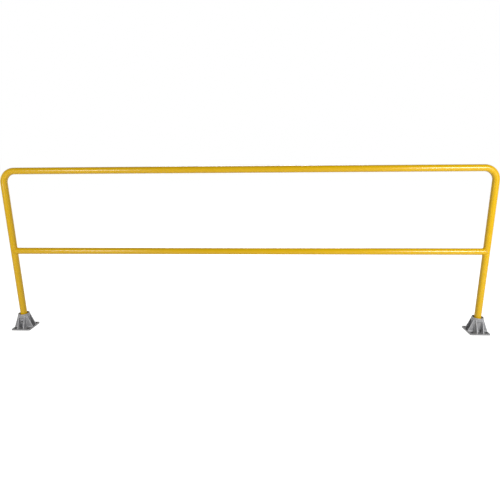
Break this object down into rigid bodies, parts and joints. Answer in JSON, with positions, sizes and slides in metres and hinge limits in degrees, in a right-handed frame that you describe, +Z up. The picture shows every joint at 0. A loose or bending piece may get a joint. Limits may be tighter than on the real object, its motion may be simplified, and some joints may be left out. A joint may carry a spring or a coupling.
{
  "type": "safety railing section",
  "caption": "Straight section of yellow tubular safety railing with a bent top rail, a mid rail and ribbed cast base sockets that bolt to the floor.",
  "frame": {"origin": "on the floor, midway between the two posts", "axes": "+X along the rails, +Y through the railing, +Z up"},
  "size_m": [3.1336, 0.127, 1.067],
  "materials": {
    "yellow_powder_coat": "gloss powder coat on steel tube",
    "cast_aluminium": "as cast",
    "screw_steel": "black oxide"
  },
  "bodies": {
    "root": {"frame_tube": "yellow_powder_coat", "mid_rail": "yellow_powder_coat", "left_weld_bead": "yellow_powder_coat", "right_weld_bead": "yellow_powder_coat", "left_base_casting": "cast_aluminium", "right_base_casting": "cast_aluminium", "left_set_screw": "screw_steel", "right_set_screw": "screw_steel"}
  },
  "joints": []
}
